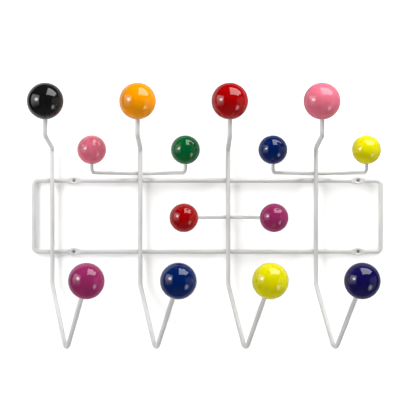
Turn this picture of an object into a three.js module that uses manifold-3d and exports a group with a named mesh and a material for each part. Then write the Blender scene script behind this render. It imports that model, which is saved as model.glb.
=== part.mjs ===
// A wall-mounted coat rack of bent steel wire with lacquered wooden balls.
// Millimetres. X runs to the right along the wall, Y into the wall, Z up.
// The origin lies on the wall, midway between the four mounting screws.

import * as THREE from 'three';
import { mergeVertices } from 'three/addons/utils/BufferGeometryUtils.js';
import Module from 'manifold-3d';

// Wire and clearances
const WIRE_DIAMETER = 6.35;
const ARM_WIRE_DIAMETER = 4.76;
const CONTACT_GAP = 0.3;
const BEND_STEP = THREE.MathUtils.degToRad(15);

// Screw pattern, wall spacers and the flattened screw eyelets
const SCREW_SPACING_X = 406.4;
const SCREW_SPACING_Z = 101.6;
const SCREW_HOLE_DIAMETER = 3.8;
const COUNTERSINK_DIAMETER = 7.6;
const SPACER_DIAMETER = 9.6;
const SPACER_THICKNESS = 4;
const SPACER_BORE = 5.4;
const SPACER_EDGE = 0.5;
const EYELET_LENGTH = 21;
const EYELET_HEIGHT = 10.4;
const EYELET_THICKNESS = 3.2;
const EYELET_FLAT_LENGTH = 15;

// Rail loop: one closed wire, its lower and upper runs on the screw rows
const LOOP_WIDTH = 495.6;
const LOOP_CENTRE_X = -12.4;
const LOOP_CORNER_RADIUS = 6.8;

// Four identical column wires, each with a ball above and a hook below
const COLUMN_COUNT = 4;
const COLUMN_PITCH = 125.3;
const COLUMN_CENTRE_X = -45.6;
const TOP_BALL_REACH = 127;
const TOP_BALL_Z = 157.7;
const JOG_UPPER_Z = 110.2;
const JOG_LOWER_Z = 97.2;
const JOG_BEND_RADIUS = 8;
const HOOK_BEND_Z = -97.2;
const HOOK_BEND_RADIUS = 16;
const HOOK_ANGLE = THREE.MathUtils.degToRad(24.5);
const HOOK_APEX_REACH = 56.3;
const HOOK_APEX_Z = -188.8;
const HOOK_APEX_RADIUS = 9;
const HOOK_BALL_REACH = 133.6;
const HOOK_BALL_Z = -87;

// Thin arms with a small ball at each end, welded behind the column wires
const UPPER_ARM_Z = 61;
const UPPER_BALL_SPREAD = 64.8;
const UPPER_BALL_REACH = 80;
const UPPER_BALL_Z = 92.7;
const ARM_TIP_BEND_RADIUS = 7;
const MIDDLE_ARM_Z = -1.5;
const MIDDLE_BALL_SPREAD = 62.7;
const MIDDLE_BALL_REACH = 70;
const ARM_BEND_RADIUS = 28;

// Balls, with the depth that a wire's tip goes into each
const LARGE_BALL_DIAMETER = 50;
const SMALL_BALL_DIAMETER = 40;
const LARGE_BALL_INSERTION = 19;
const SMALL_BALL_INSERTION = 15;

// Facets
const WIRE_SIDES = 12;
const ARM_WIRE_SIDES = 10;
const LARGE_BALL_FACETS = 20;
const LARGE_BALL_RINGS = 7;
const SMALL_BALL_FACETS = 16;
const SMALL_BALL_RINGS = 5;
const ROUND_FACETS = 24;

// Depths of the layers, from the wall outwards
const RAIL_Y = -(SPACER_THICKNESS + CONTACT_GAP + EYELET_THICKNESS / 2);
const COLUMN_Y = RAIL_Y - WIRE_DIAMETER - CONTACT_GAP;
const ARM_Y = COLUMN_Y + WIRE_DIAMETER / 2 + ARM_WIRE_DIAMETER / 2 + CONTACT_GAP;

const COLOURS = {
  coat: 0xf2f1ee,
  spacer: 0xe0ded8,
  black: 0x161616,
  orange: 0xee9a06,
  red: 0xa8060e,
  pink: 0xdb6f87,
  green: 0x0a6a3a,
  blue: 0x0c2e68,
  yellow: 0xd6ce0e,
  magenta: 0x93285e,
  violet: 0x251c54,
};

const rack = new THREE.Group();
const manifoldLibrary = await Module();
manifoldLibrary.setup();

function point(x, y, z) {
  return new THREE.Vector3(x, y, z);
}

// The centre line of a bent wire: straight runs from corner to corner, with a
// round bend of the given radius at each inner corner. Its stations are the
// two ends and the steps round each bend.
class BentWire extends THREE.Curve {
  constructor(corners, bendRadii) {
    super();
    this.stations = [];
    const last = corners.length - 1;
    this.addStation(corners[0], corners[1].clone().sub(corners[0]));
    for (let i = 1; i < last; i += 1) {
      this.addBend(corners[i - 1], corners[i], corners[i + 1], bendRadii[i - 1]);
    }
    this.addStation(corners[last], corners[last].clone().sub(corners[last - 1]));
  }

  addStation(position, direction) {
    this.stations.push({ position: position.clone(), direction: direction.clone().normalize() });
  }

  addBend(before, corner, after, radius) {
    const incoming = corner.clone().sub(before).normalize();
    const outgoing = after.clone().sub(corner).normalize();
    const turn = incoming.angleTo(outgoing);
    const axis = incoming.clone().cross(outgoing).normalize();
    const start = corner.clone().addScaledVector(incoming, -radius * Math.tan(turn / 2));
    const centre = start.clone().addScaledVector(axis.clone().cross(incoming), radius);
    const steps = Math.ceil(turn / BEND_STEP);
    for (let i = 0; i <= steps; i += 1) {
      const angle = (turn * i) / steps;
      const position = start.clone().sub(centre).applyAxisAngle(axis, angle).add(centre);
      this.addStation(position, incoming.clone().applyAxisAngle(axis, angle));
    }
  }

  stationAt(u) {
    return this.stations[Math.round(u * (this.stations.length - 1))];
  }

  getPointAt(u, target = new THREE.Vector3()) {
    return target.copy(this.stationAt(u).position);
  }

  getTangentAt(u, target = new THREE.Vector3()) {
    return target.copy(this.stationAt(u).direction);
  }
}

function wireGeometry(path, diameter, sides) {
  const section = new THREE.Shape().absarc(0, 0, diameter / 2, 0, Math.PI * 2);
  return new THREE.ExtrudeGeometry(section, {
    curveSegments: sides / 2,
    steps: path.stations.length - 1,
    extrudePath: path,
  });
}

// A lathe makes triangles of no area where its profile meets the axis.
function trianglesWithArea(indices) {
  const kept = [];
  for (let i = 0; i < indices.length; i += 3) {
    const [a, b, c] = indices.slice(i, i + 3);
    if (a !== b && b !== c && c !== a) {
      kept.push(a, b, c);
    }
  }
  return kept;
}

function toSolid(geometry) {
  const bare = geometry.clone();
  bare.deleteAttribute('normal');
  bare.deleteAttribute('uv');
  const merged = mergeVertices(bare, 1e-4);
  const mesh = new manifoldLibrary.Mesh({
    numProp: 3,
    vertProperties: new Float32Array(merged.attributes.position.array),
    triVerts: new Uint32Array(trianglesWithArea(merged.index.array)),
  });
  return new manifoldLibrary.Manifold(mesh);
}

function toGeometry(solid) {
  const mesh = solid.getMesh();
  const geometry = new THREE.BufferGeometry();
  geometry.setAttribute('position', new THREE.BufferAttribute(new Float32Array(mesh.vertProperties), 3));
  geometry.setIndex(new THREE.BufferAttribute(new Uint32Array(mesh.triVerts), 1));
  return geometry;
}

function addPiece(name, geometry, colour, roughness, metalness) {
  const material = new THREE.MeshStandardMaterial({ color: colour, roughness, metalness });
  const mesh = new THREE.Mesh(geometry, material);
  mesh.name = name;
  rack.add(mesh);
  return mesh;
}

function addWire(name, geometry) {
  return addPiece(name, geometry, COLOURS.coat, 0.4, 0);
}

function screwPoints() {
  const points = [];
  for (const z of [SCREW_SPACING_Z / 2, -SCREW_SPACING_Z / 2]) {
    for (const x of [-SCREW_SPACING_X / 2, SCREW_SPACING_X / 2]) {
      points.push({ x, z });
    }
  }
  return points;
}

// Half of the rail loop, from the middle of one end over a long run to the
// middle of the other end.
function halfLoop(z) {
  const left = LOOP_CENTRE_X - LOOP_WIDTH / 2;
  const right = LOOP_CENTRE_X + LOOP_WIDTH / 2;
  const corners = [
    point(left, RAIL_Y, 0),
    point(left, RAIL_Y, z),
    point(right, RAIL_Y, z),
    point(right, RAIL_Y, 0),
  ];
  const path = new BentWire(corners, [LOOP_CORNER_RADIUS, LOOP_CORNER_RADIUS]);
  return toSolid(wireGeometry(path, WIRE_DIAMETER, WIRE_SIDES));
}

// What the press takes off one side of the wire: a prism along Z whose ends
// slope away from the flat. Side is -1 in front and 1 towards the wall.
function flatteningCut(x, z, side) {
  const depth = WIRE_DIAMETER;
  const reach = EYELET_FLAT_LENGTH / 2;
  const flat = EYELET_THICKNESS / 2;
  const outline = new THREE.Shape();
  outline.moveTo(-reach, side * flat);
  outline.lineTo(reach, side * flat);
  outline.lineTo(reach + depth, side * (flat + depth));
  outline.lineTo(-reach - depth, side * (flat + depth));
  outline.closePath();
  const geometry = new THREE.ExtrudeGeometry(outline, { depth: WIRE_DIAMETER * 2, bevelEnabled: false });
  geometry.translate(x, RAIL_Y, z - WIRE_DIAMETER);
  return toSolid(geometry);
}

function eyeletPlate(x, z) {
  const outline = new THREE.Shape();
  outline.absellipse(0, 0, EYELET_LENGTH / 2, EYELET_HEIGHT / 2, 0, Math.PI * 2, false, 0);
  const geometry = new THREE.ExtrudeGeometry(outline, {
    depth: EYELET_THICKNESS,
    curveSegments: ROUND_FACETS / 2,
    bevelEnabled: false,
  });
  geometry.rotateX(Math.PI / 2);
  geometry.translate(x, RAIL_Y + EYELET_THICKNESS / 2, z);
  return toSolid(geometry);
}

// The through hole and its countersink, which opens to the front.
function screwHole(x, z) {
  const front = EYELET_THICKNESS / 2;
  const hole = SCREW_HOLE_DIAMETER / 2;
  const sink = COUNTERSINK_DIAMETER / 2;
  const profile = [
    new THREE.Vector2(0, -front - 1),
    new THREE.Vector2(sink + 1, -front - 1),
    new THREE.Vector2(hole, -front + sink - hole),
    new THREE.Vector2(hole, front + 1),
    new THREE.Vector2(0, front + 1),
  ];
  const geometry = new THREE.LatheGeometry(profile, ROUND_FACETS);
  geometry.translate(x, RAIL_Y, z);
  return toSolid(geometry);
}

function addRailLoop() {
  let loop = halfLoop(SCREW_SPACING_Z / 2).add(halfLoop(-SCREW_SPACING_Z / 2));
  for (const { x, z } of screwPoints()) {
    loop = loop.subtract(flatteningCut(x, z, -1));
    loop = loop.subtract(flatteningCut(x, z, 1));
    loop = loop.add(eyeletPlate(x, z));
    loop = loop.subtract(screwHole(x, z));
  }
  addWire('rail_loop', toGeometry(loop));
}

function addWallSpacers() {
  const bore = SPACER_BORE / 2;
  const outer = SPACER_DIAMETER / 2;
  const profile = [
    new THREE.Vector2(bore, -SPACER_THICKNESS),
    new THREE.Vector2(outer - SPACER_EDGE, -SPACER_THICKNESS),
    new THREE.Vector2(outer, -SPACER_THICKNESS + SPACER_EDGE),
    new THREE.Vector2(outer, 0),
    new THREE.Vector2(bore, 0),
    new THREE.Vector2(bore, -SPACER_THICKNESS),
  ];
  screwPoints().forEach(({ x, z }, index) => {
    const geometry = new THREE.LatheGeometry(profile, ROUND_FACETS);
    const spacer = addPiece(`wall_spacer_${index + 1}`, geometry, COLOURS.spacer, 0.5, 0);
    spacer.position.set(x, 0, z);
  });
}

// A ball with a blind bore for the tip of its wire. The bore's mouth faces
// down in the ball's own frame, and towards is the way the wire runs into it.
function addBall(name, colour, centre, towards, ball) {
  const radius = ball.diameter / 2;
  const bore = ball.wire / 2 + CONTACT_GAP;
  const mouth = -Math.sqrt(radius * radius - bore * bore);
  const floor = -radius + ball.insertion + CONTACT_GAP;
  const quarter = Math.PI / 2;
  const lowest = Math.asin(mouth / radius);
  const profile = [new THREE.Vector2(0, floor), new THREE.Vector2(bore, floor), new THREE.Vector2(bore, mouth)];
  for (let i = 1; i <= ball.rings; i += 1) {
    const angle = lowest * (1 - i / ball.rings);
    profile.push(new THREE.Vector2(radius * Math.cos(angle), radius * Math.sin(angle)));
  }
  for (let i = 1; i < ball.rings; i += 1) {
    const angle = (quarter * i) / ball.rings;
    profile.push(new THREE.Vector2(radius * Math.cos(angle), radius * Math.sin(angle)));
  }
  profile.push(new THREE.Vector2(0, radius));
  const mesh = addPiece(name, new THREE.LatheGeometry(profile, ball.facets), colour, 0.18, 0);
  mesh.position.copy(centre);
  mesh.quaternion.setFromUnitVectors(point(0, 1, 0), towards.clone().normalize());
}

const LARGE_BALL = {
  diameter: LARGE_BALL_DIAMETER,
  insertion: LARGE_BALL_INSERTION,
  wire: WIRE_DIAMETER,
  facets: LARGE_BALL_FACETS,
  rings: LARGE_BALL_RINGS,
};
const SMALL_BALL = {
  diameter: SMALL_BALL_DIAMETER,
  insertion: SMALL_BALL_INSERTION,
  wire: ARM_WIRE_DIAMETER,
  facets: SMALL_BALL_FACETS,
  rings: SMALL_BALL_RINGS,
};

function columnX(index) {
  return COLUMN_CENTRE_X + (index - (COLUMN_COUNT - 1) / 2) * COLUMN_PITCH;
}

// Where a wire's tip ends inside its ball, coming from the given corner.
function wireTip(centre, corner, ball) {
  const back = corner.clone().sub(centre).normalize();
  return centre.clone().addScaledVector(back, ball.diameter / 2 - ball.insertion);
}

// A point of the hook, reach millimetres out in the hook's own plane.
function hookPoint(x, reach, z) {
  return point(x + reach * Math.sin(HOOK_ANGLE), COLUMN_Y - reach * Math.cos(HOOK_ANGLE), z);
}

function addColumn(index, topBall, hookBall) {
  const x = columnX(index);
  const front = COLUMN_Y - TOP_BALL_REACH;
  const topCentre = point(x, front, TOP_BALL_Z);
  const jogUpper = point(x, front, JOG_UPPER_Z);
  const jogLower = point(x, COLUMN_Y, JOG_LOWER_Z);
  const hookBend = point(x, COLUMN_Y, HOOK_BEND_Z);
  const apex = hookPoint(x, HOOK_APEX_REACH, HOOK_APEX_Z);
  const hookCentre = hookPoint(x, HOOK_BALL_REACH, HOOK_BALL_Z);
  const corners = [
    wireTip(topCentre, jogUpper, LARGE_BALL),
    jogUpper,
    jogLower,
    hookBend,
    apex,
    wireTip(hookCentre, apex, LARGE_BALL),
  ];
  const radii = [JOG_BEND_RADIUS, JOG_BEND_RADIUS, HOOK_BEND_RADIUS, HOOK_APEX_RADIUS];
  const path = new BentWire(corners, radii);
  addWire(`column_wire_${index + 1}`, wireGeometry(path, WIRE_DIAMETER, WIRE_SIDES));
  addBall(`top_ball_${topBall}`, COLOURS[topBall], topCentre, topCentre.clone().sub(jogUpper), LARGE_BALL);
  addBall(`hook_ball_${hookBall}`, COLOURS[hookBall], hookCentre, hookCentre.clone().sub(apex), LARGE_BALL);
}

// An arm whose tips turn up into their balls.
function addUpperArm(name, index, leftBall, rightBall) {
  const x = columnX(index);
  const front = COLUMN_Y - UPPER_BALL_REACH;
  const leftCentre = point(x - UPPER_BALL_SPREAD, front, UPPER_BALL_Z);
  const rightCentre = point(x + UPPER_BALL_SPREAD, front, UPPER_BALL_Z);
  const leftCorner = point(leftCentre.x, front, UPPER_ARM_Z);
  const rightCorner = point(rightCentre.x, front, UPPER_ARM_Z);
  const corners = [
    wireTip(leftCentre, leftCorner, SMALL_BALL),
    leftCorner,
    armApex(x, leftCorner),
    rightCorner,
    wireTip(rightCentre, rightCorner, SMALL_BALL),
  ];
  const path = new BentWire(corners, [ARM_TIP_BEND_RADIUS, ARM_BEND_RADIUS, ARM_TIP_BEND_RADIUS]);
  addWire(name, wireGeometry(path, ARM_WIRE_DIAMETER, ARM_WIRE_SIDES));
  addBall(`upper_ball_${leftBall}`, COLOURS[leftBall], leftCentre, point(0, 0, 1), SMALL_BALL);
  addBall(`upper_ball_${rightBall}`, COLOURS[rightBall], rightCentre, point(0, 0, 1), SMALL_BALL);
}

// The sharp corner of an arm seen from above, placed so that the round bend
// drawn into it touches the back of the column wire.
function armApex(x, end) {
  const width = Math.abs(end.x - x);
  let apexY = ARM_Y;
  for (let i = 0; i < 20; i += 1) {
    const slope = Math.atan2(apexY - end.y, width);
    apexY = ARM_Y + ARM_BEND_RADIUS * (1 / Math.cos(slope) - 1);
  }
  return point(x, apexY, end.z);
}

// An arm that runs straight into its two balls.
function addMiddleArm(index, leftBall, rightBall) {
  const x = columnX(index);
  const front = COLUMN_Y - MIDDLE_BALL_REACH;
  const leftCentre = point(x - MIDDLE_BALL_SPREAD, front, MIDDLE_ARM_Z);
  const rightCentre = point(x + MIDDLE_BALL_SPREAD, front, MIDDLE_ARM_Z);
  const apex = armApex(x, leftCentre);
  const corners = [
    wireTip(leftCentre, apex, SMALL_BALL),
    apex,
    wireTip(rightCentre, apex, SMALL_BALL),
  ];
  const path = new BentWire(corners, [ARM_BEND_RADIUS]);
  addWire('middle_arm', wireGeometry(path, ARM_WIRE_DIAMETER, ARM_WIRE_SIDES));
  addBall(`middle_ball_${leftBall}`, COLOURS[leftBall], leftCentre, leftCentre.clone().sub(apex), SMALL_BALL);
  addBall(`middle_ball_${rightBall}`, COLOURS[rightBall], rightCentre, rightCentre.clone().sub(apex), SMALL_BALL);
}

addRailLoop();
addWallSpacers();
addColumn(0, 'black', 'magenta');
addColumn(1, 'orange', 'blue');
addColumn(2, 'red', 'yellow');
addColumn(3, 'pink', 'violet');
addUpperArm('upper_arm_left', 1, 'pink', 'green');
addUpperArm('upper_arm_right', 3, 'blue', 'yellow');
addMiddleArm(2, 'red', 'magenta');

export default rack;
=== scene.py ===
"""Looks of a wall-mounted coat rack: white coated wire with lacquered wooden balls.

Metres, in the row frame: X to the right along the wall, Y into the wall, Z up.
The origin lies on the wall, midway between the four mounting screws.
"""

import math

import bmesh
import bpy
import numpy as np
from mathutils import Euler, Matrix, Vector


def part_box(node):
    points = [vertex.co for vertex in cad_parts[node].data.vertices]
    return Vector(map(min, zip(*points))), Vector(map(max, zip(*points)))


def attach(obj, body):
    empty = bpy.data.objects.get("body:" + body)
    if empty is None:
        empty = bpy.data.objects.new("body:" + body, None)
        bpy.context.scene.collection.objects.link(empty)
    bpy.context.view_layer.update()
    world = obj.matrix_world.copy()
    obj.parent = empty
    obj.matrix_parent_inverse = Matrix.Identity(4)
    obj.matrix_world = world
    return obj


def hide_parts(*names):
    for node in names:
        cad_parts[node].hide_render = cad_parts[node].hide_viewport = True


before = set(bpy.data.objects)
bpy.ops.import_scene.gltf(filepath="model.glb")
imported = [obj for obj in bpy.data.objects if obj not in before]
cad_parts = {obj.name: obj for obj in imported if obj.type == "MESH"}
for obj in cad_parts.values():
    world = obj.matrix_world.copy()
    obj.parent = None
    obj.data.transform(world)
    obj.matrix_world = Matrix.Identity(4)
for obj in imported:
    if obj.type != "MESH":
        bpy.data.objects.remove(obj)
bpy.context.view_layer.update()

MM = 0.001

# Wire
WIRE_RADIUS = 3.175 * MM
ARM_RADIUS = 2.38 * MM
WIRE_SIDES = 32
TIP_CHAMFER = 0.4 * MM
RUN_STEP = 4 * MM
BEND_STEP = math.radians(4)
SHARP_ANGLE = math.radians(32)

# Rail loop and its flattened screw eyelets
LOOP_CORNER_RADIUS = 6.8 * MM
LOOP_SIDES = 44
LOOP_SHARP_ANGLE = math.radians(28)
EYELET_HALF_LENGTH = 10.5 * MM
EYELET_HALF_HEIGHT = 5.2 * MM
EYELET_HALF_THICKNESS = 1.6 * MM
EYELET_FLAT_HALF = 7.0 * MM
EYELET_SLOPE = 3.4 * MM
EYELET_SQUARENESS = 5.0
EYELET_REACH = 13 * MM
EYELET_STEP = 0.75 * MM
HOLE_RADIUS = 1.9 * MM
SINK_RADIUS = 3.7 * MM
SINK_LIP = 0.5 * MM
SINK_LIP_STEPS = 4
CUT_RAISE = 0.02 * MM
CUT_REACH = 4 * MM

# Wall spacers
SPACER_RADIUS = 4.8 * MM
SPACER_BORE = 2.7 * MM
SPACER_EDGE = 0.5 * MM
SPACER_BACK_EDGE = 0.3 * MM
SPACER_BORE_EDGE = 0.2 * MM

# Column wire: the route's corners beside those that the frame gives
JOG_UPPER_Z = 110.2 * MM
JOG_LOWER_Z = 97.2 * MM
JOG_BEND = 8 * MM
HOOK_BEND_Z = -97.2 * MM
HOOK_BEND = 16 * MM
HOOK_ANGLE = math.radians(24.5)
HOOK_APEX_REACH = 56.3 * MM
HOOK_APEX_Z = -188.8 * MM
HOOK_APEX_BEND = 9 * MM

# Weld beads, as shares of a wire's radius, and how far the coat is darkened round the welds
# (painted shade with some grime) and the hook bottoms (wear)
WELD_SINK = 0.36
WELD_NECK = 0.70
WELD_FLARE = 0.42
WELD_FALL = 0.12
WELD_ROWS = 16
WELD_SIDES = 32
WELD_SHADE_AND_GRIME_REACH = 8 * MM
WIRE_SHADE_AND_WEAR_REACH = 5 * MM

# Arms
ARM_BEND = 28 * MM
ARM_TIP_BEND = 7 * MM
ARM_GAP = 0.3 * MM

# Balls
LARGE_RADIUS = 25 * MM
SMALL_RADIUS = 20 * MM
LARGE_INSERTION = 19 * MM
SMALL_INSERTION = 15 * MM
BORE_PLAY = 0.12 * MM
BORE_FLOOR_GAP = 0.3 * MM
BORE_LIP = 0.7 * MM
BORE_LIP_STEPS = 5
BORE_STEPS = 3
POOLED_PAINT_REACH = 0.9 * MM
BALL_SEGMENTS = 72
BALL_STEP = math.radians(3.75)


# ---------------------------------------------------------------- meshes


def new_piece(name, vertices, faces, sharp=SHARP_ANGLE):
    """A mesh object in the row frame, smooth but for its sharp edges."""
    mesh = bpy.data.meshes.new(name)
    mesh.from_pydata([tuple(v) for v in vertices], [], faces)
    piece = bpy.data.objects.new(name, mesh)
    bpy.context.scene.collection.objects.link(piece)
    shade(mesh, sharp)
    return piece


def shade(mesh, sharp):
    """Outward normals, smooth faces and sharp edges above an angle."""
    edit = bmesh.new()
    edit.from_mesh(mesh)
    bmesh.ops.recalc_face_normals(edit, faces=edit.faces)
    for face in edit.faces:
        face.smooth = True
    for edge in edit.edges:
        edge.smooth = len(edge.link_faces) == 2 and edge.calc_face_angle() < sharp
    edit.to_mesh(mesh)
    edit.free()


def ring_faces(rings, sides, closed=False):
    """Quads between consecutive rings of the same number of vertices."""
    faces = []
    for i in range(rings if closed else rings - 1):
        a, b = i * sides, (i + 1) % rings * sides
        for j in range(sides):
            k = (j + 1) % sides
            faces.append((a + j, a + k, b + k, b + j))
    return faces


def lathe(profile, segments, place):
    """A turned shape. profile runs from axis to axis as (radius, height)."""
    vertices = [place @ Vector((0, 0, profile[0][1]))]
    for radius, height in profile[1:-1]:
        for j in range(segments):
            angle = 2 * math.pi * j / segments
            local = (radius * math.cos(angle), radius * math.sin(angle), height)
            vertices.append(place @ Vector(local))
    vertices.append(place @ Vector((0, 0, profile[-1][1])))
    rings = len(profile) - 2
    faces = [tuple(1 + n for n in quad) for quad in ring_faces(rings, segments)]
    last, tail = len(vertices) - 1, 1 + (rings - 1) * segments
    for j in range(segments):
        k = (j + 1) % segments
        faces.append((0, 1 + k, 1 + j))
        faces.append((last, tail + j, tail + k))
    return vertices, faces


def turned_ring(profile, segments, place):
    """A turned shape with a hole: the profile is a closed line."""
    vertices = []
    for radius, height in profile:
        for j in range(segments):
            angle = 2 * math.pi * j / segments
            local = (radius * math.cos(angle), radius * math.sin(angle), height)
            vertices.append(place @ Vector(local))
    return vertices, ring_faces(len(profile), segments, closed=True)


# ---------------------------------------------------------------- routes


def run_stops(start, end, fine_spots):
    """Distances from start to end: even steps, finer near the fine spots."""
    length = (end - start).length
    if length < 1e-6:
        return []
    along = (end - start) / length
    count = max(1, round(length / RUN_STEP))
    stops = [length * i / count for i in range(count)]
    for spot in fine_spots:
        at = (spot - start).dot(along)
        if 0 < at < length and (start + along * at - spot).length < WIRE_RADIUS:
            stops = [s for s in stops if abs(s - at) > EYELET_REACH + EYELET_STEP / 2]
            half = round(EYELET_REACH / EYELET_STEP)
            stops += [at + i * EYELET_STEP for i in range(-half, half + 1)]
    return sorted(stops)


def bent_route(corners, bends, fine_spots=()):
    """Stations (place, direction) of a wire through its corners."""
    stations = []
    start = corners[0]
    for i in range(1, len(corners)):
        direction = (corners[i] - corners[i - 1]).normalized()
        if i == len(corners) - 1:
            end = corners[i]
        else:
            onward = (corners[i + 1] - corners[i]).normalized()
            turn = direction.angle(onward)
            radius = bends[i - 1]
            end = corners[i] - direction * radius * math.tan(turn / 2)
        for s in run_stops(start, end, fine_spots):
            stations.append((start + direction * s, direction))
        if i == len(corners) - 1:
            stations.append((end, direction))
            break
        axis = direction.cross(onward).normalized()
        centre = end + axis.cross(direction) * radius
        steps = max(2, math.ceil(turn / BEND_STEP))
        for k in range(steps):
            spin = Matrix.Rotation(turn * k / steps, 3, axis)
            stations.append((centre + spin @ (end - centre), spin @ direction))
        spin = Matrix.Rotation(turn, 3, axis)
        start = centre + spin @ (end - centre)
    return stations


def tube(name, stations, radius):
    """A round wire along its stations, with chamfered closed tips."""
    (first, along), (last, back) = stations[0], stations[-1]
    clear = TIP_CHAMFER * 1.5
    middle = [s for s in stations[1:-1] if min((s[0] - first).length, (s[0] - last).length) > clear]
    rows = [(first, along, radius - TIP_CHAMFER)]
    rows.append((first + along * TIP_CHAMFER, along, radius))
    rows += [(place, direction, radius) for place, direction in middle]
    rows.append((last - back * TIP_CHAMFER, back, radius))
    rows.append((last, back, radius - TIP_CHAMFER))
    side = along.orthogonal().normalized()
    vertices = []
    for place, direction, r in rows:
        side = (side - direction * side.dot(direction)).normalized()
        other = direction.cross(side)
        for j in range(WIRE_SIDES):
            angle = 2 * math.pi * j / WIRE_SIDES
            vertices.append(place + (side * math.cos(angle) + other * math.sin(angle)) * r)
    faces = ring_faces(len(rows), WIRE_SIDES)
    tail = (len(rows) - 1) * WIRE_SIDES
    vertices += [first, last]
    for j in range(WIRE_SIDES):
        k = (j + 1) % WIRE_SIDES
        faces.append((tail + WIRE_SIDES, k, j))
        faces.append((tail + WIRE_SIDES + 1, tail + j, tail + k))
    return new_piece(name, vertices, faces)


# ---------------------------------------------------------------- frame places


def ball_centre(node, radius):
    """The centre of a CAD ball, from its vertices that lie on the sphere."""
    low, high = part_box(node)
    centre = np.array((low + high) / 2)
    places = np.array([v.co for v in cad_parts[node].data.vertices])
    for _ in range(3):
        off = np.abs(np.linalg.norm(places - centre, axis=1) - radius)
        on = places[off < 0.6 * MM]
        rows = np.hstack([2 * on, np.ones((len(on), 1))])
        centre = np.linalg.lstsq(rows, (on**2).sum(1), rcond=None)[0][:3]
    return Vector(centre)


def towards_row(direction):
    """The rotation that turns +Z to a direction."""
    return direction.to_track_quat("Z", "Y").to_matrix().to_4x4()


rail_low, rail_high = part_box("rail_loop")
RAIL_Y = (rail_low.y + rail_high.y) / 2
SCREWS = []
for number in range(1, 5):
    low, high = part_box(f"wall_spacer_{number}")
    SCREWS.append(Vector(((low.x + high.x) / 2, RAIL_Y, (low.z + high.z) / 2)))
RAIL_UPPER_Z = max(screw.z for screw in SCREWS)
RAIL_LOWER_Z = min(screw.z for screw in SCREWS)


# ---------------------------------------------------------------- materials


def shader_tree(material):
    material.use_nodes = True
    tree = material.node_tree
    tree.nodes.clear()
    output = tree.nodes.new("ShaderNodeOutputMaterial")
    return tree, output


def add(tree, kind, settings=None, **sockets):
    """A node with its settings and sockets; a socket value may be a link."""
    made = tree.nodes.new(kind)
    for key, value in (settings or {}).items():
        setattr(made, key, value)
    for key, value in sockets.items():
        socket = made.inputs[int(key[1:])] if key[0] == "_" else made.inputs[key.replace("_", " ")]
        if isinstance(value, bpy.types.NodeSocket):
            tree.links.new(value, socket)
        else:
            socket.default_value = value
    return made


def noise(tree, place, scale, detail=2.0, roughness=0.5):
    made = add(tree, "ShaderNodeTexNoise", Scale=scale, Detail=detail, Roughness=roughness)
    tree.links.new(place, made.inputs["Vector"])
    return made.outputs["Fac"]


def ranged(tree, value, low_in, high_in, low_out, high_out):
    made = add(tree, "ShaderNodeMapRange", {"clamp": True}, _0=value,
               _1=low_in, _2=high_in, _3=low_out, _4=high_out)
    return made.outputs[0]


def blended(tree, factor, first, second, kind="MIX"):
    """Two colours mixed by a factor; a colour is a value or a link."""
    made = add(tree, "ShaderNodeMix", {"data_type": "RGBA", "blend_type": kind})
    for number, value in ((0, factor), (6, first), (7, second)):
        socket = made.inputs[number]
        if isinstance(value, bpy.types.NodeSocket):
            tree.links.new(value, socket)
        else:
            socket.default_value = value
    return made.outputs[2]


def summed(tree, first, weight, second):
    """first * weight + second, as numbers."""
    made = add(tree, "ShaderNodeMath", {"operation": "MULTIPLY_ADD"},
               _0=first, _1=weight, _2=second)
    return made.outputs[0]


def attribute(tree, name, output):
    return add(tree, "ShaderNodeAttribute", {"attribute_name": name}).outputs[output]


def shade_of(colour, amount):
    return tuple(min(1.0, c * amount) for c in colour) + (1.0,)


def lacquer(name, colour):
    """Thick glossy paint over turned wood, whose grain only just shows."""
    material = bpy.data.materials.new(name)
    tree, output = shader_tree(material)
    place = attribute(tree, "ball_place", "Vector")
    stretched = add(tree, "ShaderNodeVectorMath", {"operation": "MULTIPLY"},
                    _0=place, _1=(1, 1, 0.12))
    grain = noise(tree, stretched.outputs[0], 420, 4, 0.6)
    cloud = noise(tree, place, 65, 3, 0.55)
    peel = noise(tree, place, 640, 2, 0.4)
    tint = ranged(tree, summed(tree, grain, 0.35, cloud), 0.45, 0.9, 0, 1)
    paint = blended(tree, tint, shade_of(colour, 0.93), shade_of(colour, 1.06))
    pooled = attribute(tree, "lip", "Fac")
    paint = blended(tree, pooled, paint, shade_of(colour, 0.62))
    rough = ranged(tree, summed(tree, grain, 0.3, cloud), 0.4, 0.95, 0.22, 0.36)
    height = summed(tree, grain, 0.35, peel)
    bump = add(tree, "ShaderNodeBump", Strength=0.12, Distance=0.00005, Height=height)
    body = add(tree, "ShaderNodeBsdfPrincipled", Base_Color=paint, Roughness=rough,
               Normal=bump.outputs[0])
    for socket, value in (("IOR", 1.5), ("Specular IOR Level", 0.0), ("Coat Weight", 1.0),
                          ("Coat Roughness", 0.045), ("Coat IOR", 1.5)):
        body.inputs[socket].default_value = value
    tree.links.new(bump.outputs[0], body.inputs["Coat Normal"])
    tree.links.new(body.outputs[0], output.inputs[0])
    return material


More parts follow.
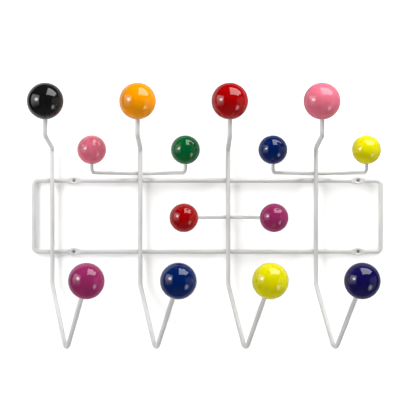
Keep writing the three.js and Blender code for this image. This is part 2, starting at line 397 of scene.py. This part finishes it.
def coating(name, colour):
    """White powder coat: fine orange peel, faint clouding, and spots darkened as painted shade with
    some grime at the welds and as wear at the hook bottoms.
    """
    material = bpy.data.materials.new(name)
    tree, output = shader_tree(material)
    place = add(tree, "ShaderNodeTexCoord").outputs["Object"]
    cloud = noise(tree, place, 38, 3, 0.6)
    speck = noise(tree, place, 1500, 2, 0.5)
    peel = noise(tree, place, 900, 2, 0.45)
    tint = ranged(tree, summed(tree, speck, 0.4, cloud), 0.45, 0.95, 0, 1)
    paint = blended(tree, tint, shade_of(colour, 0.955), shade_of(colour, 1.03))
    # Darker near the welds as painted shade with some grime, and at the hook bottoms as wear
    weld_shade_and_wear = attribute(tree, "wear_and_weld_shade", "Fac")
    shade_and_wear_share = ranged(tree, summed(tree, weld_shade_and_wear, 0.75, summed(tree, speck, 0.5, 0.0)), 0.35, 1.0, 0, 1)
    paint = blended(tree, shade_and_wear_share, paint, shade_of(colour, 0.78))
    rough = ranged(tree, summed(tree, speck, 0.3, cloud), 0.4, 0.95, 0.34, 0.5)
    bump = add(tree, "ShaderNodeBump", Strength=0.35, Distance=0.00006, Height=peel)
    body = add(tree, "ShaderNodeBsdfPrincipled", Base_Color=paint, Roughness=rough,
               Normal=bump.outputs[0])
    body.inputs["Specular IOR Level"].default_value = 0.4
    tree.links.new(body.outputs[0], output.inputs[0])
    return material


def plastic(name, colour):
    """Moulded plastic with a fine matt grain."""
    material = bpy.data.materials.new(name)
    tree, output = shader_tree(material)
    place = add(tree, "ShaderNodeTexCoord").outputs["Object"]
    cloud = noise(tree, place, 120, 2, 0.5)
    pore = noise(tree, place, 2600, 2, 0.6)
    tint = ranged(tree, summed(tree, pore, 0.5, cloud), 0.5, 1.0, 0, 1)
    paint = blended(tree, tint, shade_of(colour, 0.94), shade_of(colour, 1.04))
    rough = ranged(tree, pore, 0.3, 0.7, 0.5, 0.66)
    bump = add(tree, "ShaderNodeBump", Strength=0.4, Distance=0.00004, Height=pore)
    body = add(tree, "ShaderNodeBsdfPrincipled", Base_Color=paint, Roughness=rough,
               Normal=bump.outputs[0])
    tree.links.new(body.outputs[0], output.inputs[0])
    return material


WHITE = coating("white_powder_coat", (0.605, 0.605, 0.60))
SPACER_PLASTIC = plastic("spacer_plastic", (0.62, 0.61, 0.58))
LACQUERS = {
    "black": lacquer("lacquer_black", (0.0066, 0.0065, 0.0063)),
    "orange": lacquer("lacquer_orange", (0.86, 0.295, 0.0)),
    "red": lacquer("lacquer_red", (0.340, 0.0006, 0.0013)),
    "pink": lacquer("lacquer_pink", (0.69, 0.150, 0.220)),
    "green": lacquer("lacquer_green", (0.0, 0.114, 0.0265)),
    "blue": lacquer("lacquer_blue", (0.0, 0.0120, 0.0980)),
    "yellow": lacquer("lacquer_yellow", (0.685, 0.633, 0.0)),
    "magenta": lacquer("lacquer_magenta", (0.284, 0.0210, 0.109)),
    "violet": lacquer("lacquer_violet", (0.0060, 0.0040, 0.0690)),
}


# ---------------------------------------------------------------- dressing


def mark(piece, name, values):
    """Stores one number for each vertex."""
    made = piece.data.attributes.new(name, "FLOAT", "POINT")
    made.data.foreach_set("value", np.asarray(values, np.float32))


def closeness(piece, spots, reach):
    """For each vertex, 1 at a spot and falling to 0 over the reach."""
    places = np.array([v.co for v in piece.data.vertices])
    value = np.zeros(len(places))
    for spot in spots:
        far = np.linalg.norm(places - np.array(spot), axis=1)
        value = np.maximum(value, np.exp(-((far / reach) ** 2)))
    return value


# The pieces that the studio's lamps shine on, filled in as they are made
balls, wires = [], []


def dress(piece, material, nodes):
    """Gives a piece its material, its body and the CAD nodes it stands for."""
    piece.data.materials.append(material)
    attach(piece, "root")
    if nodes:
        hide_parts(*nodes)


def dress_wire(piece, nodes, shaded_and_worn_spots, reach=WIRE_SHADE_AND_WEAR_REACH):
    """Dresses a coated wire, whose coat is darkened near the given spots: painted shade with some
    grime at welds, wear at hook bottoms.
    """
    mark(piece, "wear_and_weld_shade", closeness(piece, shaded_and_worn_spots, reach))
    dress(piece, WHITE, nodes)
    wires.append(piece)


# ---------------------------------------------------------------- balls


def make_ball(node, colour, radius, wire, insertion, centre, direction):
    """A turned ball with a rounded mouth and a blind bore for its wire."""
    bore = wire + BORE_PLAY
    floor = -radius + insertion + BORE_FLOOR_GAP
    lip_centre_radius = bore + BORE_LIP
    reach = radius - BORE_LIP
    lip_height = -math.sqrt(reach * reach - lip_centre_radius * lip_centre_radius)
    lip_angle = math.atan2(lip_height, lip_centre_radius)
    profile = [(0, radius)]
    steps = math.ceil((math.pi / 2 - lip_angle) / BALL_STEP)
    for i in range(1, steps + 1):
        angle = math.pi / 2 + (lip_angle - math.pi / 2) * i / steps
        profile.append((radius * math.cos(angle), radius * math.sin(angle)))
    for i in range(1, BORE_LIP_STEPS + 1):
        angle = lip_angle + (-math.pi - lip_angle) * i / BORE_LIP_STEPS
        x = lip_centre_radius + BORE_LIP * math.cos(angle)
        profile.append((x, lip_height + BORE_LIP * math.sin(angle)))
    for i in range(1, BORE_STEPS + 1):
        profile.append((bore, lip_height + (floor - lip_height) * i / BORE_STEPS))
    profile.append((0, floor))
    place = Matrix.Translation(centre) @ towards_row(direction)
    vertices, faces = lathe(profile, BALL_SEGMENTS, place)
    piece = new_piece(node.replace("_ball_", "_lacquered_ball_"), vertices, faces)
    back = place.inverted()
    local = [back @ v.co for v in piece.data.vertices]
    stored = piece.data.attributes.new("ball_place", "FLOAT_VECTOR", "POINT")
    stored.data.foreach_set("vector", np.array(local, np.float32).ravel())
    mouth = np.array([math.hypot(v.x, v.y) - bore for v in local])
    below = np.array([v.z for v in local]) < 0
    mark(piece, "lip", np.exp(-np.abs(mouth) / POOLED_PAINT_REACH) * below)
    dress(piece, LACQUERS[colour], [node])
    balls.append(piece)


def wire_tip(centre, corner, radius, insertion):
    """Where a wire that comes from a corner ends inside its ball."""
    return centre + (corner - centre).normalized() * (radius - insertion)


# ---------------------------------------------------------------- wires


def make_weld(name, low_axis, low_radius, high_axis, high_radius, low_place, high_place):
    """A small fillet bead that joins two crossing wires."""
    normal = (high_place - low_place).normalized()
    gap_low = low_place + normal * low_radius
    gap_high = high_place - normal * high_radius
    middle = (gap_low + gap_high) / 2
    half_gap = (gap_high - gap_low).length / 2
    sink_low = half_gap + WELD_SINK * low_radius
    sink_high = half_gap + WELD_SINK * high_radius
    vertices = []
    for i in range(WELD_ROWS + 1):
        t = i / WELD_ROWS
        height = -sink_low + (sink_low + sink_high) * t
        along_low = spread(height, half_gap, high_radius)
        along_high = spread(-height, half_gap, low_radius)
        for j in range(WELD_SIDES):
            angle = 2 * math.pi * j / WELD_SIDES
            vertices.append(middle + normal * height
                            + low_axis * along_low * math.cos(angle)
                            + high_axis * along_high * math.sin(angle))
    faces = ring_faces(WELD_ROWS + 1, WELD_SIDES)
    faces.append(tuple(range(WELD_SIDES)))
    faces.append(tuple(range(WELD_ROWS * WELD_SIDES, (WELD_ROWS + 1) * WELD_SIDES)))
    piece = new_piece(name, vertices, faces)
    # The whole bead is darkened as painted shade with some grime where the wires cross
    dress_wire(piece, [], [middle], WELD_SHADE_AND_GRIME_REACH)
    return middle


def spread(height, half_gap, other_radius):
    """How far a weld reaches along one wire, at a height towards the other."""
    past = max(0.0, height + half_gap)
    return other_radius * (WELD_NECK + WELD_FLARE * math.exp(-past / (WELD_FALL * other_radius)))


def eyelet_section(distance):
    """Half thickness, half height and squareness of the loop's section."""
    flat = smooth_step((distance - EYELET_FLAT_HALF) / EYELET_SLOPE)
    thickness = EYELET_HALF_THICKNESS + (WIRE_RADIUS - EYELET_HALF_THICKNESS) * flat
    share = min(1.0, distance / EYELET_HALF_LENGTH)
    ellipse = EYELET_HALF_HEIGHT * math.sqrt(max(0.0, 1 - share * share))
    height = (ellipse**6 + WIRE_RADIUS**6) ** (1 / 6)
    squareness = 2 + (EYELET_SQUARENESS - 2) * (1 - flat)
    return thickness, height, squareness


def smooth_step(t):
    t = min(1.0, max(0.0, t))
    return t * t * (3 - 2 * t)


def make_loop():
    """The closed rail loop, pressed flat and drilled at its four eyelets."""
    left = rail_low.x + WIRE_RADIUS
    right = rail_high.x - WIRE_RADIUS
    middle_z = (RAIL_UPPER_Z + RAIL_LOWER_Z) / 2
    corners = [Vector((left, RAIL_Y, middle_z)), Vector((left, RAIL_Y, RAIL_UPPER_Z)),
               Vector((right, RAIL_Y, RAIL_UPPER_Z)), Vector((right, RAIL_Y, RAIL_LOWER_Z)),
               Vector((left, RAIL_Y, RAIL_LOWER_Z)), Vector((left, RAIL_Y, middle_z))]
    stations = bent_route(corners, [LOOP_CORNER_RADIUS] * 4, SCREWS)[:-1]
    out = Vector((0, -1, 0))
    vertices = []
    for place, direction in stations:
        across = direction.cross(out)
        near = min((place - screw).length for screw in SCREWS)
        thickness, height, squareness = eyelet_section(near)
        for j in range(LOOP_SIDES):
            angle = 2 * math.pi * (j + 0.5) / LOOP_SIDES
            c, s = math.cos(angle), math.sin(angle)
            y = math.copysign(abs(c) ** (2 / squareness), c) * thickness
            z = math.copysign(abs(s) ** (2 / squareness), s) * height
            vertices.append(place + out * y + across * z)
    faces = ring_faces(len(stations), LOOP_SIDES, closed=True)
    loop = new_piece("rail_loop_wire", vertices, faces)
    drill(loop)
    return loop


def drill(loop):
    """Cuts the four countersunk holes and applies the cuts."""
    front = -EYELET_HALF_THICKNESS
    lip = front + CUT_RAISE
    profile = [(0, front - CUT_REACH)]
    turn = SINK_LIP * math.tan(math.pi / 8)
    rim = SINK_RADIUS + turn
    profile.append((rim, front - CUT_REACH))
    for i in range(SINK_LIP_STEPS + 1):
        angle = math.pi / 4 * i / SINK_LIP_STEPS
        profile.append((rim - SINK_LIP * math.sin(angle), lip + SINK_LIP * (1 - math.cos(angle))))
    profile.append((HOLE_RADIUS, lip + SINK_RADIUS - HOLE_RADIUS))
    profile.append((HOLE_RADIUS, CUT_REACH))
    profile.append((0, CUT_REACH))
    cutters = []
    for screw in SCREWS:
        place = Matrix.Translation(screw) @ towards_row(Vector((0, 1, 0)))
        vertices, faces = lathe(profile, 56, place)
        cutter = new_piece("cutter", vertices, faces)
        cut = loop.modifiers.new("hole", "BOOLEAN")
        cut.operation = "DIFFERENCE"
        cut.solver = "EXACT"
        cut.object = cutter
        cutters.append(cutter)
    bpy.context.view_layer.update()
    graph = bpy.context.evaluated_depsgraph_get()
    drilled = bpy.data.meshes.new_from_object(loop.evaluated_get(graph))
    loop.modifiers.clear()
    loop.data = drilled
    for cutter in cutters:
        bpy.data.objects.remove(cutter)
    shade(drilled, LOOP_SHARP_ANGLE)


def make_spacer(number, screw):
    """A turned spacer between its eyelet and the wall."""
    front = RAIL_Y + EYELET_HALF_THICKNESS
    profile = [
        (SPACER_BORE, front + SPACER_BORE_EDGE),
        (SPACER_BORE + SPACER_BORE_EDGE, front),
        (SPACER_RADIUS - SPACER_EDGE, front),
        (SPACER_RADIUS - 0.3 * SPACER_EDGE, front + 0.3 * SPACER_EDGE),
        (SPACER_RADIUS, front + SPACER_EDGE),
        (SPACER_RADIUS, -SPACER_BACK_EDGE),
        (SPACER_RADIUS - SPACER_BACK_EDGE, 0),
        (SPACER_BORE + SPACER_BORE_EDGE, 0),
        (SPACER_BORE, -SPACER_BORE_EDGE),
    ]
    place = Matrix.Translation((screw.x, 0, screw.z)) @ towards_row(Vector((0, 1, 0)))
    vertices, faces = turned_ring(profile, 48, place)
    piece = new_piece(f"turned_spacer_{number}", vertices, faces)
    dress(piece, SPACER_PLASTIC, [f"wall_spacer_{number}"])
    wires.append(piece)


def make_column(number, top_colour, hook_colour):
    """One column wire with its two balls and its welds to the rails."""
    node = f"column_wire_{number}"
    low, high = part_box(node)
    x = low.x + WIRE_RADIUS
    y = high.y - WIRE_RADIUS
    top_node, hook_node = f"top_ball_{top_colour}", f"hook_ball_{hook_colour}"
    top = ball_centre(top_node, LARGE_RADIUS)
    hook = ball_centre(hook_node, LARGE_RADIUS)
    jog_upper = Vector((top.x, top.y, JOG_UPPER_Z))
    jog_lower = Vector((x, y, JOG_LOWER_Z))
    bend = Vector((x, y, HOOK_BEND_Z))
    apex = Vector((x + HOOK_APEX_REACH * math.sin(HOOK_ANGLE),
                   y - HOOK_APEX_REACH * math.cos(HOOK_ANGLE), HOOK_APEX_Z))
    corners = [wire_tip(top, jog_upper, LARGE_RADIUS, LARGE_INSERTION), jog_upper, jog_lower,
               bend, apex, wire_tip(hook, apex, LARGE_RADIUS, LARGE_INSERTION)]
    stations = bent_route(corners, [JOG_BEND, JOG_BEND, HOOK_BEND, HOOK_APEX_BEND])
    piece = tube(f"bent_column_{number}", stations, WIRE_RADIUS)
    upright, along = Vector((0, 0, 1)), Vector((1, 0, 0))
    welds = []
    for row, z in (("upper", RAIL_UPPER_Z), ("lower", RAIL_LOWER_Z)):
        welds.append(make_weld(f"weld_{row}_rail_column_{number}", along, WIRE_RADIUS,
                               upright, WIRE_RADIUS, Vector((x, RAIL_Y, z)), Vector((x, y, z))))
    lowest = min(stations, key=lambda s: s[0].z)[0]
    # Darkened at both welds as painted shade with some grime, and at the hook bottom as wear
    dress_wire(piece, [node], welds + [lowest + Vector((0, 0, WIRE_RADIUS))])
    make_ball(top_node, top_colour, LARGE_RADIUS, WIRE_RADIUS, LARGE_INSERTION,
              top, top - jog_upper)
    make_ball(hook_node, hook_colour, LARGE_RADIUS, WIRE_RADIUS, LARGE_INSERTION,
              hook, hook - apex)
    return x, y, welds


def arm_apex(x, touch_y, end):
    """The sharp corner whose round bend just touches the given depth."""
    width = abs(end.x - x)
    y = touch_y
    for _ in range(20):
        slope = math.atan2(y - end.y, width)
        y = touch_y + ARM_BEND * (1 / math.cos(slope) - 1)
    return Vector((x, y, end.z))


def make_arm(node, name, column, left_node, right_node, tips_turn_up):
    """A thin arm behind its column, with a small ball at each end."""
    x, y, _ = column
    low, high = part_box(node)
    centres = [ball_centre(ball, SMALL_RADIUS) for ball in (left_node, right_node)]
    arm_z = low.z + ARM_RADIUS if tips_turn_up else (low.z + high.z) / 2
    touch_y = y + WIRE_RADIUS + ARM_GAP + ARM_RADIUS
    ends = [Vector((c.x, c.y, arm_z)) for c in centres]
    apex = arm_apex(x, touch_y, ends[0])
    inner = ends if tips_turn_up else [apex, apex]
    tips = [wire_tip(c, e, SMALL_RADIUS, SMALL_INSERTION) for c, e in zip(centres, inner)]
    if tips_turn_up:
        corners = [tips[0], ends[0], apex, ends[1], tips[1]]
        bends = [ARM_TIP_BEND, ARM_BEND, ARM_TIP_BEND]
    else:
        corners = [tips[0], apex, tips[1]]
        bends = [ARM_BEND]
    piece = tube(name, bent_route(corners, bends), ARM_RADIUS)
    weld = make_weld(f"weld_{name}", Vector((1, 0, 0)), ARM_RADIUS, Vector((0, 0, 1)), WIRE_RADIUS,
                     Vector((x, touch_y, arm_z)), Vector((x, y, arm_z)))
    # Darkened round its weld as painted shade with some grime
    dress_wire(piece, [node], [weld])
    for ball, centre, corner in zip((left_node, right_node), centres, inner):
        colour = ball.split("_")[-1]
        make_ball(ball, colour, SMALL_RADIUS, ARM_RADIUS, SMALL_INSERTION,
                  centre, centre - corner)


columns = [
    make_column(1, "black", "magenta"),
    make_column(2, "orange", "blue"),
    make_column(3, "red", "yellow"),
    make_column(4, "pink", "violet"),
]
make_arm("upper_arm_left", "left_arm", columns[1], "upper_ball_pink", "upper_ball_green", True)
make_arm("upper_arm_right", "right_arm", columns[3], "upper_ball_blue", "upper_ball_yellow", True)
make_arm("middle_arm", "centre_arm", columns[2], "middle_ball_red", "middle_ball_magenta", False)
rail_welds = [weld for column in columns for weld in column[2]]
# Darkened round the rail welds as painted shade with some grime
dress_wire(make_loop(), ["rail_loop"], rail_welds)
for number, screw in enumerate(SCREWS, 1):
    make_spacer(number, screw)


# ---------------------------------------------------------------- stage


def only_seen_by(piece, *rays):
    """Limits which rays meet an object of the stage."""
    for ray in ("camera", "diffuse", "glossy", "transmission", "volume_scatter", "shadow"):
        setattr(piece, f"visible_{ray}", ray in rays)


def emitter(name, colour, strength):
    material = bpy.data.materials.new(name)
    tree, output = shader_tree(material)
    glow = add(tree, "ShaderNodeEmission", Color=(*colour, 1), Strength=strength)
    tree.links.new(glow.outputs[0], output.inputs[0])
    return material


def one_sided(name, colour):
    """Matt paint in front, and nothing seen from behind."""
    material = bpy.data.materials.new(name)
    tree, output = shader_tree(material)
    front = add(tree, "ShaderNodeBsdfDiffuse", Color=(*colour, 1))
    clear = add(tree, "ShaderNodeBsdfTransparent")
    behind = add(tree, "ShaderNodeNewGeometry").outputs["Backfacing"]
    mixed = add(tree, "ShaderNodeMixShader", _0=behind, _1=front.outputs[0], _2=clear.outputs[0])
    tree.links.new(mixed.outputs[0], output.inputs[0])
    return material


def flat_stage(name, corners, material):
    """A four-sided sheet; its front is where the corners run anticlockwise."""
    mesh = bpy.data.meshes.new(name)
    mesh.from_pydata(corners, [], [(0, 1, 2, 3)])
    piece = bpy.data.objects.new(name, mesh)
    bpy.context.scene.collection.objects.link(piece)
    mesh.materials.append(material)
    return piece


WALL_LEFT, WALL_RIGHT, WALL_LOW, WALL_HIGH = -0.50, 0.47, -0.42, 0.41
FLOOR_Z = -1.3
FLOOR_REACH = 4
SKY_RADIUS = 14
SKY_DARK_ABOVE = -3.0
SKY_BRIGHT_BELOW = -13.0
AMBIENT = 0.40

wall = flat_stage("studio_wall", [(WALL_LEFT, 0, WALL_LOW), (WALL_RIGHT, 0, WALL_LOW),
                                  (WALL_RIGHT, 0, WALL_HIGH), (WALL_LEFT, 0, WALL_HIGH)],
                  one_sided("wall_paint", (0.9, 0.9, 0.9)))
only_seen_by(wall, "camera", "diffuse", "shadow", "transmission")
FLOOR = [(-FLOOR_REACH, -FLOOR_REACH, FLOOR_Z), (FLOOR_REACH, -FLOOR_REACH, FLOOR_Z),
         (FLOOR_REACH, 0, FLOOR_Z), (-FLOOR_REACH, 0, FLOOR_Z)]
FLOOR_PAINT = one_sided("floor_paint", (0.86, 0.86, 0.85))
# One sheet is what the camera sees, and the other throws soft light up
floor = flat_stage("studio_floor", FLOOR, FLOOR_PAINT)
only_seen_by(floor, "camera")
bounce = flat_stage("floor_bounce", FLOOR, FLOOR_PAINT)
only_seen_by(bounce, "diffuse", "shadow", "transmission")


def dome(name, strength, ray, low_strength=None):
    """A plain sky seen by one kind of ray only, brighter below if asked."""
    edit = bmesh.new()
    bmesh.ops.create_icosphere(edit, subdivisions=3, radius=SKY_RADIUS)
    mesh = bpy.data.meshes.new(name)
    edit.to_mesh(mesh)
    edit.free()
    piece = bpy.data.objects.new(name, mesh)
    bpy.context.scene.collection.objects.link(piece)
    material = emitter(name, (1, 1, 1), strength)
    material.cycles.emission_sampling = "NONE"
    if low_strength is not None:
        tree = material.node_tree
        place = add(tree, "ShaderNodeTexCoord").outputs["Object"]
        height = add(tree, "ShaderNodeSeparateXYZ", _0=place).outputs[2]
        level = ranged(tree, height, SKY_BRIGHT_BELOW, SKY_DARK_ABOVE, low_strength, strength)
        tree.links.new(level, tree.nodes["Emission"].inputs["Strength"])
    mesh.materials.append(material)
    only_seen_by(piece, ray)


dome("pale_surround", 1.0, "camera")
dome("dim_room", 0.008, "glossy", 0.13)

world = bpy.data.worlds.new("studio")
bpy.context.scene.world = world
world.use_nodes = True
background = world.node_tree.nodes["Background"]
background.inputs["Color"].default_value = (1, 1, 1, 1)
background.inputs["Strength"].default_value = AMBIENT
world.cycles_visibility.camera = False
world.cycles_visibility.glossy = False


RACK = Vector((0.0, -0.05, 0.0))


def soft_light(name, place, size, power, lit):
    """A rectangular lamp aimed at the rack, which lights the listed objects only."""
    data = bpy.data.lights.new(name, "AREA")
    data.shape = "RECTANGLE"
    data.size, data.size_y = size
    data.energy = power
    lamp = bpy.data.objects.new(name, data)
    bpy.context.scene.collection.objects.link(lamp)
    lamp.location = place
    lamp.rotation_euler = (RACK - Vector(place)).to_track_quat("-Z", "Y").to_euler()
    lamp.visible_camera = False
    lamp.visible_glossy = False
    receivers = bpy.data.collections.new(f"{name}_receivers")
    for piece in lit:
        receivers.objects.link(piece)
    lamp.light_linking.receiver_collection = receivers


soft_light("key_on_balls", (-1.80, -0.70, 0.35), (0.5, 0.6), 8.5, balls)
soft_light("key_on_wires", (-1.75, -0.85, 0.35), (0.5, 0.6), 17.0, wires)
soft_light("upper_right_on_balls", (0.70, -0.75, 1.17), (0.8, 0.7), 18.6, balls)
soft_light("upper_right_on_wires", (0.45, -0.75, 1.17), (0.8, 0.7), 21.5, wires)
soft_light("overhead_on_balls", (0.1, -0.75, 1.9), (1.2, 0.9), 15.5, balls)
soft_light("front_on_wires", (0.0, -2.2, 0.0), (3.0, 3.0), 3.6, wires)
soft_light("light_on_floor", (0.0, -2.0, 3.0), (5.0, 5.0), 240.0, [floor])

WALL_LAMP_DISTANCE = 2
WALL_LAMP_SIZE = (0.6, 0.6)
# The angle off the wall's normal, the heading (0 is the right, 90 is up) and the power
WALL_LAMPS = [(45, 180, 9.9), (45, 150, 8.8), (60, 150, 10.5), (60, 90, 11.4),
              (45, 60, 8.1), (72, 60, 14.8), (72, 0, 24.0)]
for tilt, heading, power in WALL_LAMPS:
    t, h = math.radians(tilt), math.radians(heading)
    outward = Vector((math.sin(t) * math.cos(h), -math.cos(t), math.sin(t) * math.sin(h)))
    place = RACK + WALL_LAMP_DISTANCE * outward
    soft_light(f"wall_lamp_{tilt}_{heading}", place, WALL_LAMP_SIZE, power, [wall, bounce])


def card(name, corners, strength, soft=(0, 0, 0, 0), hot=None, count=24):
    """A glowing sheet that only shows as a reflection. Its corners run from
    the lower left round to the upper left as the balls show them. soft is how
    far the glow fades in from the left, right, lower and upper edge, and hot
    is the centre, the size and the strength of a bright spot, both as shares
    of the sheet."""
    vertices, faces, places = [], [], []
    low_left, low_right, high_right, high_left = [Vector(c) for c in corners]
    for j in range(count + 1):
        for i in range(count + 1):
            u, v = i / count, j / count
            low_side = low_left.lerp(low_right, u)
            vertices.append(low_side.lerp(high_left.lerp(high_right, u), v))
            places.append((u, v, 0))
    for j in range(count):
        for i in range(count):
            a = j * (count + 1) + i
            faces.append((a, a + 1, a + count + 2, a + count + 1))
    mesh = bpy.data.meshes.new(name)
    mesh.from_pydata(vertices, [], faces)
    stored = mesh.attributes.new("sheet", "FLOAT_VECTOR", "POINT")
    stored.data.foreach_set("vector", np.array(places, np.float32).ravel())
    piece = bpy.data.objects.new(name, mesh)
    bpy.context.scene.collection.objects.link(piece)
    material = bpy.data.materials.new(name)
    tree, output = shader_tree(material)
    glow = add(tree, "ShaderNodeEmission", Strength=strength)
    sheet = attribute(tree, "sheet", "Vector")
    split = add(tree, "ShaderNodeSeparateXYZ", _0=sheet)
    level = None
    for share, output_number, far in zip(soft, (0, 0, 1, 1), (0.0, 1.0, 0.0, 1.0)):
        if share == 0:
            continue
        near = share if far == 0.0 else 1.0 - share
        fade = add(tree, "ShaderNodeMapRange", {"interpolation_type": "SMOOTHSTEP"},
                   _0=split.outputs[output_number], _1=far, _2=near, _3=0.0, _4=1.0).outputs[0]
        before = strength if level is None else level
        level = add(tree, "ShaderNodeMath", {"operation": "MULTIPLY"},
                    _0=fade, _1=before).outputs[0]
    if hot:
        (u, v), size, extra = hot
        off = add(tree, "ShaderNodeVectorMath", {"operation": "SUBTRACT"}, _0=sheet, _1=(u, v, 0))
        scaled = add(tree, "ShaderNodeVectorMath", {"operation": "DIVIDE"}, _0=off.outputs[0],
                     _1=(size[0], size[1], 1))
        length = add(tree, "ShaderNodeVectorMath", {"operation": "LENGTH"}, _0=scaled.outputs[0])
        core = add(tree, "ShaderNodeMapRange", {"interpolation_type": "SMOOTHERSTEP"},
                   _0=length.outputs["Value"], _1=0.0, _2=1.0, _3=extra, _4=0.0).outputs[0]
        base = strength if level is None else level
        level = add(tree, "ShaderNodeMath", {"operation": "ADD"}, _0=core, _1=base).outputs[0]
    if level is not None:
        tree.links.new(level, glow.inputs["Strength"])
    tree.links.new(glow.outputs[0], output.inputs[0])
    mesh.materials.append(material)
    only_seen_by(piece, "glossy")


card("window_card", [(0.12, -1.8, 1.44), (1.08, -0.76, 0.78),
                     (1.70, -0.01, 1.38), (-0.015, -0.13, 1.08)], 5.2)
card("left_card", [(-2.1, 0.1, -1.1), (-1.25, -1.7, -1.1),
                   (-1.25, -1.7, 1.25), (-2.1, 0.1, 1.25)], 2.8,
     soft=(0.12, 0.06, 0.84, 0.08), hot=((0.69, 0.635), (0.30, 0.18), 16.0), count=48)
card("low_right_card", [(0.82, -1.00, -1.76), (1.40, -0.13, -1.56),
                        (1.92, -1.00, -0.35), (1.34, -1.87, -0.55)], 0.0,
     hot=((0.56, 0.47), (0.62, 0.53), 4.5))
card("right_room", [(4, -4.3, -5), (4, 0.4, -5), (4, 0.4, 2.0), (4, -4.3, 2.0)], 0.40,
     soft=(0.04, 0.02, 0.3, 0.15))
card("left_room", [(-4, 0.4, -5), (-4, -7.0, -5), (-4, -7.0, 0.6), (-4, 0.4, 0.6)], 0.10,
     soft=(0.02, 0.5, 0.3, 0.15))
card("wall_glow", [(WALL_RIGHT, 0, WALL_LOW), (WALL_LEFT, 0, WALL_LOW),
                   (WALL_LEFT, 0, WALL_HIGH), (WALL_RIGHT, 0, WALL_HIGH)], 0.37,
     hot=((0.88, 0.75), (0.5, 0.8), 0.55))


# ---------------------------------------------------------------- camera

SENSOR = 36.0
LENS = 161.8
CAMERA_PLACE = (-0.02965, -2.6795, 0.0287)
TILT_DOWN = math.radians(0.366)
TURN_RIGHT = math.radians(0.386)

camera_data = bpy.data.cameras.new("camera")
camera_data.sensor_width = SENSOR
camera_data.lens = LENS
camera_data.clip_start, camera_data.clip_end = 0.05, 60
camera = bpy.data.objects.new("camera", camera_data)
bpy.context.scene.collection.objects.link(camera)
camera.location = CAMERA_PLACE
camera.rotation_euler = Euler((math.pi / 2 - TILT_DOWN, 0, -TURN_RIGHT))
bpy.context.scene.camera = camera
bpy.context.scene.view_settings.view_transform = "Standard"

bpy.context.view_layer.update()
